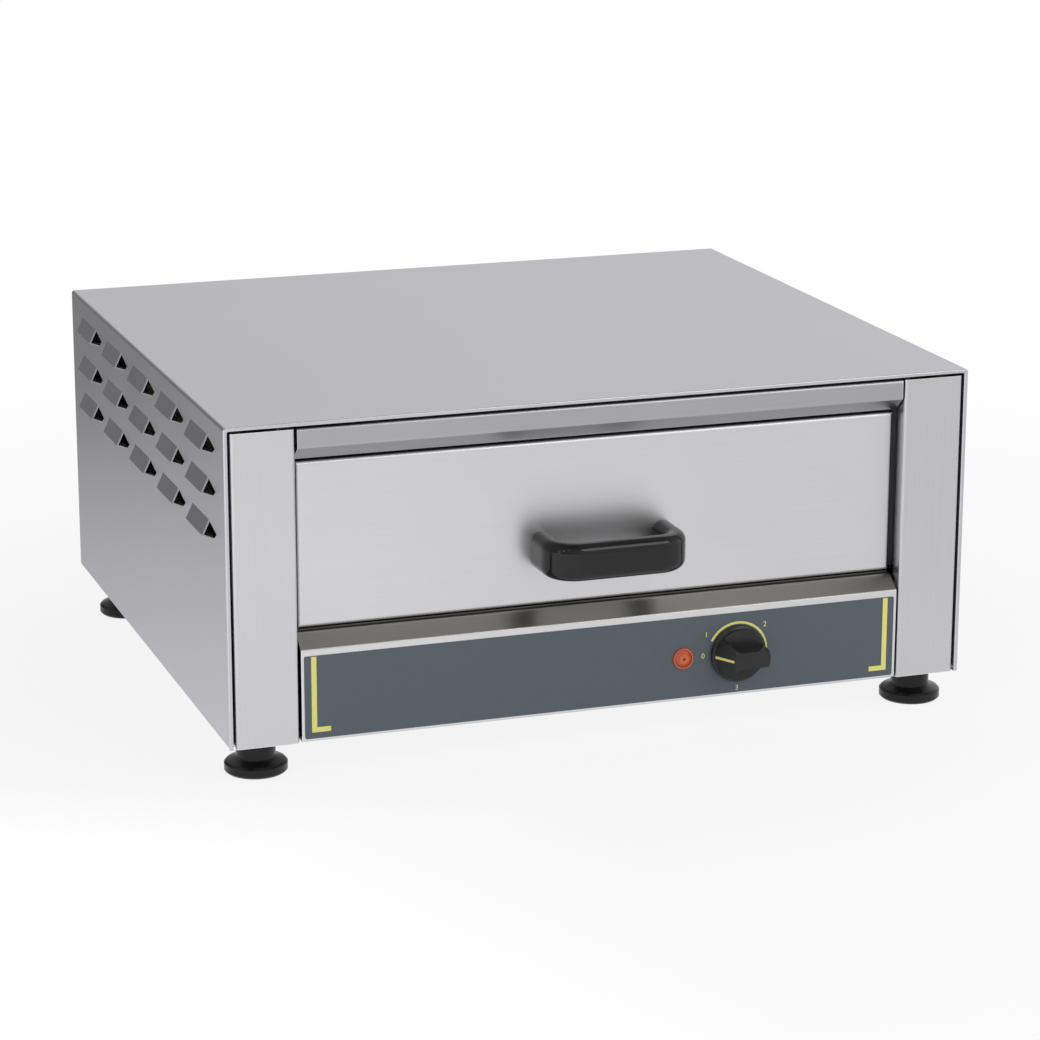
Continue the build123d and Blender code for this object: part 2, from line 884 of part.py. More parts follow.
def knob_pointer():
    """Raised line up the ramp of the grip bar."""
    top, foot = knob_ramp_points()
    ramp_run = Vector(*top) - Vector(*foot)
    slope = ramp_run.normalized()
    outward = Vector(slope.Y, -slope.X)
    low = Vector(*foot) + slope * pointer_end_margin
    high = Vector(*top) - slope * pointer_end_margin
    lift = outward * pointer_height
    strip = outline([low, high, high + lift, low + lift])
    half = pointer_width / 2
    return along_z(strip, control_height - half, control_height + half)


def pilot_lamp_lens():
    """Ringed lens with a small centre pip."""
    section = [
        (0, 0),
        (lamp_flange_radius, 0),
        (lamp_flange_radius - 0.4, lamp_flange_height),
        (lamp_ring_radius, lamp_flange_height + 0.4),
        (lamp_ring_radius - lamp_ring_groove / 2, lamp_flange_height - 0.3),
        (lamp_dome_radius, lamp_flange_height),
        (lamp_dome_radius - 1.2, lamp_dome_height),
        (lamp_pip_radius, lamp_dome_height),
        (0, lamp_dome_height - lamp_pip_radius / 2),
    ]
    turned = revolve(Plane.XZ * outline(section), axis=Axis.Z)
    upright = Plane(origin=(lamp_x, overlay_face, control_height), x_dir=(1, 0, 0), z_dir=(0, -1, 0))
    return upright.location * turned


def pilot_lamp_body():
    """Lamp housing behind the lens with its retaining clip."""
    end = overlay_face + lamp_body_length
    housing = bar_y(lamp_body_radius, lamp_x, control_height, overlay_face, end)
    return housing + bar_y(lamp_clip_radius, lamp_x, control_height, shell_sheet, shell_sheet + lamp_clip_height)


def terminal_block():
    """Block with a screw well for each pole."""
    body = block(
        terminal_x - terminal_width / 2,
        terminal_x + terminal_width / 2,
        terminal_y,
        terminal_y + terminal_depth,
        base_top,
        base_top + terminal_height,
    )
    top = base_top + terminal_height
    for x in on_grid(terminal_poles, terminal_width / terminal_poles):
        for y in (terminal_depth / 4, terminal_depth * 3 / 4):
            well = bar_z(terminal_well_radius, terminal_x + x, terminal_y + y, top - terminal_well_depth, top + 1)
            body -= well
    return body


def wiring_loom():
    """Leads from the terminal block to the thermostat, the lamp and both ends of the heater."""
    poles = on_grid(terminal_poles, terminal_width / terminal_poles)
    block_back = terminal_y + terminal_depth
    feed_x = terminal_x + poles[0]
    thermostat_lead_x = knob_x - thermostat_width / 4
    lamp_lead_x = knob_x + thermostat_width / 4
    feed = [
        (feed_x, terminal_y, lead_height),
        (feed_x, lead_lane_y, lead_height),
        (thermostat_lead_x, lead_lane_y, lead_height),
        (thermostat_lead_x, lead_lane_y, control_height),
        (thermostat_lead_x, thermostat_back, control_height),
    ]
    lamp = [
        (lamp_lead_x, thermostat_back, lead_lamp_z),
        (lamp_lead_x, lead_lamp_y, lead_lamp_z),
        (lamp_x, lead_lamp_y, lead_lamp_z),
        (lamp_x, lead_lamp_y, lead_lamp_z + lead_lamp_rise),
        (lamp_x, overlay_face + lamp_body_length, lead_lamp_z + lead_lamp_rise),
    ]
    left_end = [
        (terminal_x + poles[0], block_back, lead_height),
        (terminal_x + poles[0], lead_rear_y, lead_height),
        (-heater_end_x, lead_rear_y, lead_height + 2 * lead_bend),
        (-heater_end_x, lead_rear_y, heater_z),
        (-heater_end_x, heater_end_y, heater_z),
    ]
    right_end = [
        (terminal_x + poles[-1], block_back, lead_height),
        (terminal_x + poles[-1], lead_rear_y, lead_height),
        (heater_end_x, lead_rear_y, lead_height),
        (heater_end_x, lead_rear_y, heater_z),
        (heater_end_x, heater_end_y, heater_z),
    ]
    return [bent_rod(lead_radius, lead_bend, points) for points in (feed, lamp, left_end, right_end)]


# Levelling feet


def foot_nuts():
    """Weld nuts on the base, one over each foot."""
    profile = hexagon(nut_flats) - Circle(stud_radius + stud_clearance)
    return [along_z(Pos(x, y) * profile, base_top, base_top + nut_height) for _, x, y in foot_places()]


def foot_pad(x, y):
    """Moulded pad: disc, sloping shoulder and neck, with a blind hole for the stud."""
    neck_top = foot_height - foot_top_gap
    shoulder_top = foot_disc_height + foot_shoulder_rise
    hole = stud_radius + screw_clearance
    section = [
        (0, 0),
        (foot_radius - foot_edge, 0),
        (foot_radius, foot_edge),
        (foot_radius, foot_disc_height - foot_edge),
        (foot_radius - foot_edge, foot_disc_height),
        (foot_neck_radius + foot_edge, shoulder_top - foot_edge / 2),
        (foot_neck_radius, shoulder_top),
        (foot_neck_radius, neck_top),
        (hole, neck_top),
        (hole, stud_seat),
        (0, stud_seat),
    ]
    turned = revolve(Plane.XZ * outline(section), axis=Axis.Z)
    return Pos(x, y, -foot_height) * turned


def foot_stud(x, y):
    """Threaded stud that screws up through the weld nut."""
    top = base_top + nut_height + foot_travel + stud_spare
    return bar_z(stud_radius, x, y, stud_seat - foot_height, top)


# Drawer


def drawer_front():
    """Folded front panel with four returns and holes for the handle screws."""
    panel = block(-drawer_half, drawer_half, drawer_face, drawer_back_face, drawer_low, drawer_high)
    rim = panel.faces().sort_by(Axis.Y)[0].edges()
    panel = fillet(rim, drawer_front_bend)
    sheet = drawer_front_sheet
    hollow = block(
        sheet - drawer_half,
        drawer_half - sheet,
        drawer_face + sheet,
        drawer_back_face + 1,
        drawer_low + sheet,
        drawer_high - sheet,
    )
    hollow = fillet(hollow.faces().sort_by(Axis.Y)[0].edges(), drawer_front_bend - sheet)
    panel -= hollow
    for x in (-handle_leg_x, handle_leg_x):
        radius = handle_screw_radius + screw_clearance
        panel -= bar_y(radius, x, handle_z, drawer_face - 1, drawer_face + sheet + 1)
    return panel


def drawer_front_insulation():
    """Mineral wool inside the front panel, cut away round the handle screws' heads."""
    sheet = drawer_front_sheet
    wool = block(
        drawer_front_bend - drawer_half,
        drawer_half - drawer_front_bend,
        drawer_face + sheet,
        drawer_back_face,
        drawer_low + drawer_front_bend,
        drawer_high - drawer_front_bend,
    )
    for x in (-handle_leg_x, handle_leg_x):
        wool -= bar_y(handle_screw_head + 1, x, handle_z, drawer_face, drawer_back_face + 1)
    return wool


def drawer_front_liner():
    """Inner skin of the drawer front, which carries the tray."""
    inset = drawer_front_sheet / 2
    half = drawer_half - inset
    low = drawer_low + inset
    high = drawer_high - inset
    return block(-half, half, drawer_back_face, tray_front, low, high)


def drawer_right_side():
    """Tray side, one flat sheet with a rolled top edge."""
    side_top = tray_bottom + drawer_side_height
    side = block(tray_inside, tray_outside, tray_front, tray_rear, tray_bottom, side_top)
    bead_x = (tray_inside + tray_outside) / 2
    return side + bar_y(drawer_sheet, bead_x, side_top, tray_front, tray_rear - drawer_sheet)


def drawer_back():
    """Tray back between the sides."""
    side_top = tray_bottom + drawer_side_height
    inner = tray_rear - drawer_sheet
    return block(-tray_inside, tray_inside, inner, tray_rear, tray_bottom, side_top)


def drawer_bottom():
    """Tray bottom, slotted so that warm air rises through it."""
    inner = tray_rear - drawer_sheet
    bottom = block(-tray_inside, tray_inside, tray_front, inner, tray_bottom, tray_bottom + drawer_sheet)
    middle_y = (tray_front + inner) / 2
    slot = SlotOverall(tray_slot_length, tray_slot_width)
    slots = []
    for x in on_grid(tray_slot_columns, tray_slot_pitch_x):
        for y in on_grid(tray_slot_rows, tray_slot_pitch_y):
            cut = Pos(x, middle_y + y) * slot
            slots.append(along_z(cut, tray_bottom - 1, tray_bottom + drawer_sheet + 1))
    return bottom - slots


def handle():
    """Bow handle: one rounded section swept out, across and back, with tapped legs."""
    grip_y = handle_front + handle_thickness / 2
    path = FilletPolyline(
        (-handle_leg_x, drawer_face, handle_z),
        (-handle_leg_x, grip_y, handle_z),
        (handle_leg_x, grip_y, handle_z),
        (handle_leg_x, drawer_face, handle_z),
        radius=handle_corner,
    )
    start = Plane(origin=(-handle_leg_x, drawer_face, handle_z), x_dir=(1, 0, 0), z_dir=(0, -1, 0))
    section = RectangleRounded(handle_thickness, handle_height, handle_section_corner)
    bow = sweep(start * section, path=path)
    for x in (-handle_leg_x, handle_leg_x):
        radius = handle_screw_radius + screw_clearance
        bow -= bar_y(radius, x, handle_z, drawer_face - handle_screw_length, drawer_face + 1)
    return bow


def handle_screws():
    """Two screws from inside the front panel into the handle's legs."""
    inner = drawer_face + drawer_front_sheet
    screws = []
    for x in (-handle_leg_x, handle_leg_x):
        shank = bar_y(handle_screw_radius, x, handle_z, inner - handle_screw_length, inner)
        head = bar_y(handle_screw_head, x, handle_z, inner, inner + handle_screw_head_height)
        screws.append(shank + head)
    return screws


# Telescopic slides


def slide_channel(web, reach, half_height):
    """Channel on the right: its web and flanges' ends as distances from the chamber wall."""
    section = [
        (chamber_half_width - reach, slide_z + half_height),
        (chamber_half_width - web, slide_z + half_height),
        (chamber_half_width - web, slide_z - half_height),
        (chamber_half_width - reach, slide_z - half_height),
    ]
    profile = folded_profile(section[::-1], slide_sheet, slide_bend)
    return along_y(profile, slide_front, slide_rear)


def right_outer_rail():
    """Outer channel on the chamber wall, open towards the drawer."""
    return slide_channel(0, slide_outer_reach, slide_outer_half_height)


def right_middle_rail():
    """Middle channel, nested in the outer one."""
    half_height = slide_outer_half_height - slide_sheet - slide_gap
    return slide_channel(slide_middle_start, slide_middle_reach, half_height)


def right_inner_rail():
    """Inner channel on the tray's side, open towards the wall and nested in the middle one."""
    half_height = slide_outer_half_height - 2 * (slide_sheet + slide_gap)
    section = [
        (chamber_half_width - slide_inner_start, slide_z + half_height),
        (tray_outside, slide_z + half_height),
        (tray_outside, slide_z - half_height),
        (chamber_half_width - slide_inner_start, slide_z - half_height),
    ]
    profile = folded_profile(section, slide_sheet, slide_bend)
    return along_y(profile, slide_front, slide_rear)


def all_nodes():
    """Every piece under its own name."""
    nodes = {
        "outer_casing": outer_casing(),
        "right_post": right_post(),
        "top_rail": top_rail(),
        "control_fascia": control_fascia(),
        "fascia_overlay": fascia_overlay(),
        "base_plate": base_plate(),
        "rear_panel": rear_panel(),
        "rear_panel_screws": rear_screws(),
        "cable_gland": cable_gland(),
        "gland_nut": gland_nut(),
        "liner_right_wall": liner_right_wall(),
        "liner_ceiling": liner_ceiling(),
        "liner_floor": liner_floor(),
        "liner_rear_wall": liner_rear_wall(),
        "liner_support_legs": liner_support_legs(),
        "insulation_top": insulation_top(),
        "insulation_right": insulation_right(),
        "insulation_rear": insulation_rear(),
        "insulation_floor": insulation_floor(),
        "heater_element": heater_element(),
        "heater_supports": heater_supports(),
        "thermostat_body": thermostat_body(),
        "thermostat_screws": thermostat_screws(),
        "thermostat_probe": thermostat_probe(),
        "thermostat_spindle": thermostat_spindle(),
        "knob": knob(),
        "knob_pointer": knob_pointer(),
        "pilot_lamp_lens": pilot_lamp_lens(),
        "pilot_lamp_body": pilot_lamp_body(),
        "terminal_block": terminal_block(),
        "wiring_loom": wiring_loom(),
        "foot_nuts": foot_nuts(),
        "drawer_front": drawer_front(),
        "drawer_front_insulation": drawer_front_insulation(),
        "drawer_front_liner": drawer_front_liner(),
        "drawer_right_side": drawer_right_side(),
        "drawer_back": drawer_back(),
        "drawer_bottom": drawer_bottom(),
        "handle": handle(),
        "handle_screws": handle_screws(),
        "right_outer_rail": right_outer_rail(),
        "right_middle_rail": right_middle_rail(),
        "right_inner_rail": right_inner_rail(),
    }
    for name in [name for name in nodes if "right" in name]:
        nodes[name.replace("right", "left")] = mirrored(nodes[name])
    for corner, x, y in foot_places():
        nodes[corner + "_foot_pad"] = foot_pad(x, y)
        nodes[corner + "_foot_stud"] = foot_stud(x, y)
    return nodes


os.makedirs("parts", exist_ok=True)
for name, shape in all_nodes().items():
    solids = shape if isinstance(shape, list) else shape.solids()
    placed = [place * solid for solid in solids]
    export_step(placed[0] if len(placed) == 1 else Compound(placed), f"parts/{name}.step")
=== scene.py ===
import json
import math

import bmesh
import bpy
from mathutils import Matrix, Vector


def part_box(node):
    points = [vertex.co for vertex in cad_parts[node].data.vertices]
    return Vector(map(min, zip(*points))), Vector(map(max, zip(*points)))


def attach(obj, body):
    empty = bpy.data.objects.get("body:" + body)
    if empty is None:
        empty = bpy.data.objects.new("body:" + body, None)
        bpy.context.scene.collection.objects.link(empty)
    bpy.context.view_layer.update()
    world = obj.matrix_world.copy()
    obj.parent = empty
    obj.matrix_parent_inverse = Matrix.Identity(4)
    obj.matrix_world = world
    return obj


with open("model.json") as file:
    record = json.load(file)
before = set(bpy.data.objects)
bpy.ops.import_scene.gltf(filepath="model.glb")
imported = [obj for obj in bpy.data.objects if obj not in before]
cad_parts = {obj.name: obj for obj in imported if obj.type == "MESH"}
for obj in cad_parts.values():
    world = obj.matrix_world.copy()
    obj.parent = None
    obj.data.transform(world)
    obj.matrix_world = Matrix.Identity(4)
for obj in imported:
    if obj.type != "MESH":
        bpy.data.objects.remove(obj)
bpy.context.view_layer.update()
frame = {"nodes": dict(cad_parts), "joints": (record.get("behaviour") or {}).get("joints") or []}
NODES = frame["nodes"]
MM = 0.001

# Camera: solved from the cabinet's corners in the photograph, for a square frame
CAMERA_PLACE = Vector((-0.80138, -2.34137, 0.78821))
CAMERA_FORWARD = Vector((0.31769264, 0.90978687, -0.2671315))
CAMERA_RIGHT = Vector((0.94425459, -0.32921145, 0.00176122))
FOCAL_PIXELS = 3384.68
FRAME_PIXELS = 1040
SENSOR_MM = 36.0
CAMERA_REACH = 50

# Surroundings as the steel reflects them: brighter to the right, dim round two directions.
# Each dim spot fades in between two cosines of the angle from its middle.
WORLD_LEVEL = 0.74
WORLD_ACROSS = 0.32
WORLD_BACK = 0.02
OVERHEAD = (0.31, -0.07, 0.95)
OVERHEAD_DIM = 0.44
OVERHEAD_FADE = (0.55, 0.95)
BACK_LEFT = (-0.39, 0.9, 0.19)
BACK_LEFT_DIM = 0.47
BACK_LEFT_FADE = (0.82, 0.97)

# Floor: its light in reflections falls from front to back, and it is whitened away from the object
FLOOR_HALF = 12.0
FLOOR_FRONT = -0.35
FLOOR_BACK = 0.9
FLOOR_LEVELS = (0.98, 0.45)
FLOOR_TILT = 0.3
FLOOR_TILT_HALF = 0.6
WHITE_NEAR = 0.86
WHITE_RADII = (0.4, 1.05)

# Lamps: name, place, size and power; all aim at one point
LAMP_TARGET = (0, 0, 0.12)
LAMPS = (
    ("key_softbox", (1.3, -2.2, 2.2), (1.6, 1.2), 13),
    ("left_lamp", (-2.0, -1.6, 1.7), (0.12, 0.1), 0.8),
    ("upper_left_lamp", (-1.2, -1.9, 2.4), (0.12, 0.1), 0.8),
    ("left_strip", (-1.7, -0.9, 0.6), (0.2, 1.1), 0.7),
)

# Brushed steel: scales of its noise, the painted shade and dulling of inner faces, and the painted highlight
# and polish of folds and edges
GRAIN_STRETCH = 0.006
FINE_GRAIN = 2600.0
COARSE_GRAIN = 500.0
MOTTLE_SCALE = 9.0
# Inner faces behind a given place: painted shade, and more roughness
SHADE_BEHIND_RAMP = 1.5 * MM
SHADE_BEHIND_LEVEL = 0.3
DULL_ROUGH = 0.2
# Folds and edges: reach of the bevel, level of the painted highlight, lower roughness and the cosines of the
# fade
EDGE_REACH = 0.9 * MM
EDGE_HIGHLIGHT_LEVEL = 0.9
EDGE_SHEEN = 0.1
EDGE_COSINES = (0.93, 0.998)
# Slopes of the normal over which upward faces fade into their painted shade
UPWARD_SHADE_SLOPE = (0.3, 0.5)
QUARTER_TURN = 0.25

# Print on the fascia overlay
PRINT_THICKNESS = 0.08 * MM
BRACKET_INSET_X = 4.9 * MM
BRACKET_BAR = 3.7 * MM
BRACKET_FOOT = 13.4 * MM
BRACKET_FOOT_BAR = 3.6 * MM
BRACKET_LOW = 4.4 * MM
BRACKET_HIGH = 0.5 * MM

# Dial: an arc that thins after the taper angle, and its digits with their angles and radii
DIAL_RADIUS = 22.4 * MM
DIAL_LINE = 1.7 * MM
DIAL_TAIL = 0.5 * MM
DIAL_START = 152
DIAL_TAPER = 40
DIAL_END = -10
DIAL_STEPS = 72
DIAL_MARKS = (("0", 180, 26.3), ("1", 147, 28.6), ("2", 43, 28.2), ("3", -90, 26.0))
DIGIT_HEIGHT = 5.4 * MM

# Pilot lamp lens: colours of its rings by share of the radius
LENS_RADIUS = 8.0 * MM
LENS_RINGS = (
    (0.0, (0.1, 0.008, 0.004, 1)),
    (0.12, (0.12, 0.01, 0.004, 1)),
    (0.17, (0.8, 0.16, 0.04, 1)),
    (0.55, (0.62, 0.09, 0.025, 1)),
    (0.66, (0.7, 0.17, 0.06, 1)),
    (0.74, (0.22, 0.02, 0.008, 1)),
    (0.86, (0.62, 0.12, 0.05, 1)),
    (1.0, (0.36, 0.04, 0.02, 1)),
)


def material(name):
    """A new node material with its tree, its shader and object-space coordinates."""
    made = bpy.data.materials.new(name)
    made.use_nodes = True
    tree = made.node_tree
    shader = tree.nodes["Principled BSDF"]
    place = tree.nodes.new("ShaderNodeTexCoord")
    return made, tree, shader, place.outputs["Object"]


def noise(tree, coords, scale, detail=4.0, rough=0.55, stretch=(1, 1, 1)):
    """Noise over object space, stretched along the axes with a small factor."""
    mapping = tree.nodes.new("ShaderNodeMapping")
    mapping.inputs["Scale"].default_value = stretch
    texture = tree.nodes.new("ShaderNodeTexNoise")
    texture.inputs["Scale"].default_value = scale
    texture.inputs["Detail"].default_value = detail
    texture.inputs["Roughness"].default_value = rough
    tree.links.new(coords, mapping.inputs["Vector"])
    tree.links.new(mapping.outputs["Vector"], texture.inputs["Vector"])
    return texture.outputs["Fac"]


def spread(tree, value, low, high, from_low=0.3, from_high=0.7):
    """Maps a value from one range, by default that of a noise, to another."""
    node = tree.nodes.new("ShaderNodeMapRange")
    node.inputs["From Min"].default_value = from_low
    node.inputs["From Max"].default_value = from_high
    node.inputs["To Min"].default_value = low
    node.inputs["To Max"].default_value = high
    tree.links.new(value, node.inputs["Value"])
    return node.outputs["Result"]


def math_node(tree, operation, first, second):
    """One arithmetic step on two values."""
    node = tree.nodes.new("ShaderNodeMath")
    node.operation = operation
    for socket, value in zip(node.inputs, (first, second)):
        if isinstance(value, (int, float)):
            socket.default_value = value
        else:
            tree.links.new(value, socket)
    return node.outputs["Value"]


def vector_node(tree, operation, first, second=None):
    """One arithmetic step on a vector and, where it takes one, a second vector."""
    node = tree.nodes.new("ShaderNodeVectorMath")
    node.operation = operation
    tree.links.new(first, node.inputs[0])
    if isinstance(second, bpy.types.NodeSocket):
        tree.links.new(second, node.inputs[1])
    elif second is not None:
        node.inputs[1].default_value = second
    return node.outputs["Value" if operation in ("DOT_PRODUCT", "LENGTH") else "Vector"]


def split_axes(tree, vector):
    """The three components of a vector."""
    node = tree.nodes.new("ShaderNodeSeparateXYZ")
    tree.links.new(vector, node.inputs["Vector"])
    return node.outputs


def tint(tree, shader, color, factor):
    """Base colour times a factor that varies over the surface."""
    node = tree.nodes.new("ShaderNodeVectorMath")
    node.operation = "SCALE"
    node.inputs[0].default_value = color
    tree.links.new(factor, node.inputs["Scale"])
    tree.links.new(node.outputs["Vector"], shader.inputs["Base Color"])
    return node.outputs["Vector"]


def bump(tree, shader, height, distance, strength=1.0):
    """Fine relief from a height value."""
    node = tree.nodes.new("ShaderNodeBump")
    node.inputs["Strength"].default_value = strength
    node.inputs["Distance"].default_value = distance
    tree.links.new(height, node.inputs["Height"])
    tree.links.new(node.outputs["Normal"], shader.inputs["Normal"])


def edge_highlight_mask(tree):
    """1 on folds and edges, which get a painted highlight and lower roughness, and 0 on flat faces."""
    rounded = tree.nodes.new("ShaderNodeBevel")
    rounded.samples = 4
    rounded.inputs["Radius"].default_value = EDGE_REACH
    surface = tree.nodes.new("ShaderNodeNewGeometry")
    agree = vector_node(tree, "DOT_PRODUCT", rounded.outputs["Normal"], surface.outputs["Normal"])
    return spread(tree, agree, 1, 0, *EDGE_COSINES)


def add_upward_shade_tint(tree, shader, coords, product, upward_shade_tint):
    """Multiplies the base colour by a painted shade, darker and slightly brown, on faces that slope upwards.
    """
    facing = split_axes(tree, coords.node.outputs["Normal"])
    upward = spread(tree, facing["Z"], 0, 1, *UPWARD_SHADE_SLOPE)
    mix = tree.nodes.new("ShaderNodeMix")
    mix.data_type = "VECTOR"
    tree.links.new(upward, mix.inputs[0])
    mix.inputs[4].default_value = (1, 1, 1)
    mix.inputs[5].default_value = upward_shade_tint
    tinted = vector_node(tree, "MULTIPLY", product, mix.outputs[1])
    tree.links.new(tinted, shader.inputs["Base Color"])


def brushed_steel(
    name, color, rough, grain, streaks=0.02, mottle=0.025, anisotropy=0.4, painted_shade_behind=None, upward_shade_tint=None
):
    """Satin stainless steel: fine streaks along the grain and a faint large mottle.

    The grain is one axis, or XZ where it follows a sheet folded round the Y axis.
    Behind the given place along Y the sheet's inner faces are dull and painted dark, a painted shade for the
    gaps behind the front faces.
    Faces that slope upwards may get a painted shade, darker and slightly brown.
    """
    made, tree, shader, coords = material(name)
    along = tuple(GRAIN_STRETCH if axis in grain else 1.0 for axis in "XYZ")
    fine = noise(tree, coords, FINE_GRAIN, 3.0, 0.6, along)
    coarse = noise(tree, coords, COARSE_GRAIN, 2.0, 0.5, along)
    cloud = noise(tree, coords, MOTTLE_SCALE, 3.0, 0.5)
    fine_lines = spread(tree, fine, -streaks, streaks)
    coarse_lines = spread(tree, coarse, -streaks / 2, streaks / 2)
    lines = math_node(tree, "ADD", fine_lines, coarse_lines)
    level = math_node(tree, "ADD", lines, spread(tree, cloud, 1 - mottle, 1 + mottle))
    matt = math_node(tree, "ADD", spread(tree, cloud, rough - 0.02, rough + 0.02), lines)
    # Behind that place: painted shade, darker and rougher, for the gaps behind the front faces
    if painted_shade_behind is not None:
        depth = split_axes(tree, coords)["Y"]
        inside = spread(tree, depth, 0, 1, painted_shade_behind, painted_shade_behind + SHADE_BEHIND_RAMP)
        level = math_node(tree, "MULTIPLY", level, spread(tree, inside, 1, SHADE_BEHIND_LEVEL, 0, 1))
        matt = math_node(tree, "ADD", matt, spread(tree, inside, 0, DULL_ROUGH, 0, 1))
    # Folds and edges: a painted highlight in the base colour and a lower roughness
    edge = edge_highlight_mask(tree)
    highlight_lift = spread(tree, edge, 1, EDGE_HIGHLIGHT_LEVEL / max(color), 0, 1)
    level = math_node(tree, "MULTIPLY", level, highlight_lift)
    matt = math_node(tree, "SUBTRACT", matt, spread(tree, edge, 0, EDGE_SHEEN, 0, 1))
    product = tint(tree, shader, color, level)
    if upward_shade_tint is not None:
        add_upward_shade_tint(tree, shader, coords, product, upward_shade_tint)
    tree.links.new(matt, shader.inputs["Roughness"])
    shader.inputs["Metallic"].default_value = 1.0
    shader.inputs["Anisotropic"].default_value = anisotropy
    tangent = tree.nodes.new("ShaderNodeTangent")
    tangent.direction_type = "RADIAL"
    tangent.axis = {"X": "Z", "Y": "X", "Z": "X", "XZ": "Y"}[grain]
    shader.inputs["Anisotropic Rotation"].default_value = QUARTER_TURN
    tree.links.new(tangent.outputs["Tangent"], shader.inputs["Tangent"])
    bump(tree, shader, fine, 0.002 * MM, 0.4)
    return made


def plain_metal(name, color, rough, mottle=0.06):
    """Plain metal with faint stains and handling marks."""
    made, tree, shader, coords = material(name)
    cloud = noise(tree, coords, 35.0, 5.0)
    tint(tree, shader, color, spread(tree, cloud, 1 - mottle, 1 + mottle))
    tree.links.new(spread(tree, cloud, rough + 0.07, rough - 0.05), shader.inputs["Roughness"])
    shader.inputs["Metallic"].default_value = 1.0
    bump(tree, shader, noise(tree, coords, 900.0, 2.0), 0.01 * MM, 0.4)
    return made


def moulding(name, color, rough, grain_depth=0.02, specular=0.5):
    """Moulded plastic: fine moulded texture, its depth in mm, and slight wear in the sheen."""
    made, tree, shader, coords = material(name)
    cloud = noise(tree, coords, 60.0, 4.0)
    tint(tree, shader, color, spread(tree, cloud, 0.88, 1.15))
    tree.links.new(spread(tree, cloud, rough - 0.04, rough + 0.06), shader.inputs["Roughness"])
    shader.inputs["Specular IOR Level"].default_value = specular
    bump(tree, shader, noise(tree, coords, 2600.0, 2.0), grain_depth * MM, 0.5)
    return made


def wool(name, color):
    """Felted mineral wool: fibres in clumps."""
    made, tree, shader, coords = material(name)
    fibres = noise(tree, coords, 420.0, 6.0, 0.7, (1, 1, 3))
    clumps = noise(tree, coords, 60.0, 4.0)
    strands = spread(tree, fibres, 0.75, 1.2)
    both = math_node(tree, "MULTIPLY", strands, spread(tree, clumps, 0.85, 1.12))
    tint(tree, shader, color, both)
    shader.inputs["Roughness"].default_value = 0.95
    shader.inputs["Sheen Weight"].default_value = 0.2
    bump(tree, shader, fibres, 0.8 * MM, 0.8)
    return made


def printed(name, color, rough):
    """Screen-printed ink with a slight tooth."""
    made, tree, shader, coords = material(name)
    tooth = noise(tree, coords, 1800.0, 3.0)
    tint(tree, shader, color, spread(tree, tooth, 0.93, 1.07))
    tree.links.new(spread(tree, tooth, rough - 0.05, rough + 0.05), shader.inputs["Roughness"])
    bump(tree, shader, tooth, 0.006 * MM, 0.4)
    return made


def lamp_lens(name, centre):
    """Orange-red moulded lens: rings that darken and brighten by distance from its axis."""
    made, tree, shader, coords = material(name)
    offset = vector_node(tree, "SUBTRACT", coords, centre)
    flat = vector_node(tree, "MULTIPLY", offset, (1, 0, 1))
    share = math_node(tree, "DIVIDE", vector_node(tree, "LENGTH", flat), LENS_RADIUS)
    ramp = tree.nodes.new("ShaderNodeValToRGB")
    ends = ramp.color_ramp.elements
    for element, (position, color) in zip((ends[0], ends[1]), (LENS_RINGS[0], LENS_RINGS[-1])):
        element.position = position
        element.color = color
    for position, color in LENS_RINGS[1:-1]:
        ramp.color_ramp.elements.new(position).color = color
    tree.links.new(share, ramp.inputs["Fac"])
    tree.links.new(ramp.outputs["Color"], shader.inputs["Base Color"])
    shader.inputs["Roughness"].default_value = 0.18
    shader.inputs["Coat Weight"].default_value = 0.3
    shader.inputs["Coat Roughness"].default_value = 0.05
    shader.inputs["Emission Color"].default_value = (0.9, 0.16, 0.03, 1)
    shader.inputs["Emission Strength"].default_value = 0.05
    return made


def dress(names, made):
    """Gives CAD nodes a finished material."""
    for name in names:
        node = NODES[name]
        node.data.materials.clear()
        node.data.materials.append(made)


def add_print(name, shape, ink, place=Matrix.Identity(4)):
    """Puts a printed mark in the scene, riding on the cabinet."""
    piece = bpy.data.objects.new(name, shape)
    bpy.context.scene.collection.objects.link(piece)
    piece.matrix_world = place
    shape.materials.append(ink)
    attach(piece, "cabinet")


def closed_mesh(tool, name):
    """Turns a closed form's faces outwards and makes it a mesh."""
    bmesh.ops.recalc_face_normals(tool, faces=tool.faces)
    mesh = bpy.data.meshes.new(name)
    tool.to_mesh(mesh)
    tool.free()
    return mesh


def plate_mesh(name, outline, front, back):
    """Flat plate facing -Y: an outline in x and z between two y values."""
    tool = bmesh.new()
    near = [tool.verts.new((x, front, z)) for x, z in outline]
    far = [tool.verts.new((x, back, z)) for x, z in outline]
    tool.faces.new(near)
    tool.faces.new(far[::-1])
    count = len(outline)
    for index in range(count):
        after = (index + 1) % count
        tool.faces.new((near[after], near[index], far[index], far[after]))
    return closed_mesh(tool, name)


def band_mesh(name, inner, outer, front, back):
    """Flat band facing -Y: two edges in x and z between two y values."""
    tool = bmesh.new()
    near_inner, near_outer, far_inner, far_outer = [
        [tool.verts.new((x, depth, z)) for x, z in edge] for depth in (front, back) for edge in (inner, outer)
    ]
    walls = (
        (near_inner, near_outer),
        (far_outer, far_inner),
        (near_outer, far_outer),
        (far_inner, near_inner),
    )
    for step in range(len(inner) - 1):
        for first, second in walls:
            tool.faces.new((first[step], first[step + 1], second[step + 1], second[step]))
    for end in (0, -1):
        tool.faces.new((near_inner[end], near_outer[end], far_outer[end], far_inner[end]))
    return closed_mesh(tool, name)


